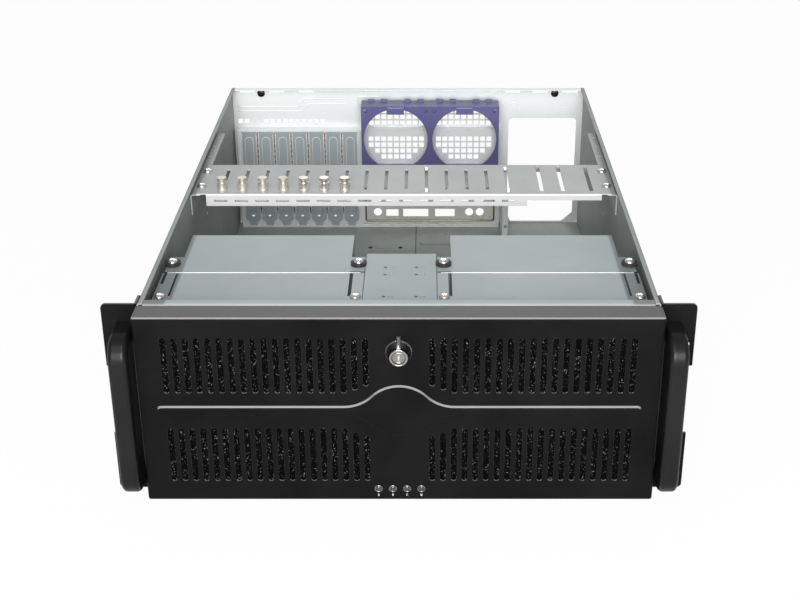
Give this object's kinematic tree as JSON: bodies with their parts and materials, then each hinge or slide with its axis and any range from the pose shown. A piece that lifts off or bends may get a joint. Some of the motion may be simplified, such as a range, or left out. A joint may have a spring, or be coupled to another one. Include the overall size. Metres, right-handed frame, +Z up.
{
  "type": "rackmount server case",
  "caption": "Four-unit rackmount server case without its cover, with a drop-down vented door, drive cages, card hold-down bar, fan brackets and rear slot covers.",
  "frame": {"origin": "middle of the whole footprint, on the surface that the case stands on", "axes": "+X to the right seen from the front, +Y from the front handles to the rear panel, +Z up"},
  "size_m": [0.4826, 0.606, 0.1804],
  "materials": {
    "floor_zinc": "zinc-coated steel sheet, faint rolling grain",
    "plate_zinc": "zinc-coated steel sheet, satin",
    "bright_zinc": "bright zinc-coated steel sheet",
    "bar_zinc": "zinc-coated steel sheet, satin",
    "cover_zinc": "zinc-coated steel strip",
    "shield_steel": "thin tinned steel, stamped",
    "black_coat": "fine satin black powder coat",
    "handle_black": "satin black coat",
    "nickel": "nickel plated",
    "clamp_nickel": "nickel plated, knurled",
    "dark_screw": "black zinc",
    "lock_metal": "dark polished zinc die-cast",
    "black_rubber": "soft black rubber",
    "black_plastic": "fine textured black plastic",
    "blue_plastic": "blue-violet moulded plastic, satin",
    "lamp_lens": "clear lens in a bright rim",
    "filter_foam": "open-cell black filter foam"
  },
  "bodies": {
    "chassis": {"bar_bracket_left": "bar_zinc", "bar_bracket_right": "bar_zinc", "bar_screws": "nickel", "bay_cover_1": "black_coat", "bay_cover_2": "black_coat", "bay_cover_3": "black_coat", "bay_cover_4": "black_coat", "bay_cover_5": "black_coat", "bay_cover_6": "black_coat", "cage_left": "plate_zinc", "cage_right": "plate_zinc", "cage_screws": "nickel", "cage_washers": "black_rubber", "card_bar": "bar_zinc", "chassis_tub": "floor_zinc", "control_plate": "black_plastic", "deck_screws": "nickel", "ear_left": "black_coat", "ear_right": "black_coat", "fan_bracket_left": "blue_plastic", "fan_bracket_right": "blue_plastic", "front_deck": "plate_zinc", "front_panel": "plate_zinc", "handle_left": "handle_black", "handle_right": "handle_black", "handle_screws": "nickel", "hinge_pins": "nickel", "io_shield": "shield_steel", "psu_support": "bright_zinc", "rear_panel": "bright_zinc", "rear_screws": "dark_screw", "slot_cover_1": "cover_zinc", "slot_cover_2": "cover_zinc", "slot_cover_3": "cover_zinc", "slot_cover_4": "cover_zinc", "slot_cover_5": "cover_zinc", "slot_cover_6": "cover_zinc", "slot_cover_7": "cover_zinc", "slot_screws": "nickel"},
    "front_door": {"door": "black_coat", "indicator_lamps": "lamp_lens", "foam_filter_left": "filter_foam", "foam_filter_right": "filter_foam", "filter_frame": "black_coat", "lock_body": "lock_metal", "lock_nut": "nickel"},
    "lock_core": {"lock_barrel": "lock_metal", "lock_cam": "nickel"},
    "power_cap": {"power_button": "black_plastic"},
    "reset_cap": {"reset_button": "black_plastic"},
    "clamp_1": {"card_clamp_1": "clamp_nickel"},
    "clamp_2": {"card_clamp_2": "clamp_nickel"},
    "clamp_3": {"card_clamp_3": "clamp_nickel"},
    "clamp_4": {"card_clamp_4": "clamp_nickel"},
    "clamp_5": {"card_clamp_5": "clamp_nickel"},
    "clamp_6": {"card_clamp_6": "clamp_nickel"},
    "clamp_7": {"card_clamp_7": "clamp_nickel"}
  },
  "joints": [
    {"name": "door_hinge", "type": "hinge", "parent": "chassis", "child": "front_door", "pos_m": [0, -0.2665, 0.005], "axis": [1, 0, 0], "range_deg": [0, 90]},
    {"name": "lock_turn", "type": "hinge", "parent": "front_door", "child": "lock_core", "pos_m": [0, -0.284, 0.145], "axis": [0, -1, 0], "range_deg": [0, 90]},
    {"name": "power_press", "type": "slide", "parent": "chassis", "child": "power_cap", "axis": [0, 1, 0], "range_m": [0, 0.002], "stiffness_N_per_m": 300},
    {"name": "reset_press", "type": "slide", "parent": "chassis", "child": "reset_cap", "axis": [0, 1, 0], "range_m": [0, 0.002], "stiffness_N_per_m": 200},
    {"name": "clamp_slide_1", "type": "slide", "parent": "chassis", "child": "clamp_1", "axis": [0, 1, 0], "range_m": [0, 0.045]},
    {"name": "clamp_slide_2", "type": "slide", "parent": "chassis", "child": "clamp_2", "axis": [0, 1, 0], "range_m": [0, 0.045]},
    {"name": "clamp_slide_3", "type": "slide", "parent": "chassis", "child": "clamp_3", "axis": [0, 1, 0], "range_m": [0, 0.045]},
    {"name": "clamp_slide_4", "type": "slide", "parent": "chassis", "child": "clamp_4", "axis": [0, 1, 0], "range_m": [0, 0.045]},
    {"name": "clamp_slide_5", "type": "slide", "parent": "chassis", "child": "clamp_5", "axis": [0, 1, 0], "range_m": [0, 0.045]},
    {"name": "clamp_slide_6", "type": "slide", "parent": "chassis", "child": "clamp_6", "axis": [0, 1, 0], "range_m": [0, 0.045]},
    {"name": "clamp_slide_7", "type": "slide", "parent": "chassis", "child": "clamp_7", "axis": [0, 1, 0], "range_m": [0, 0.045]}
  ]
}
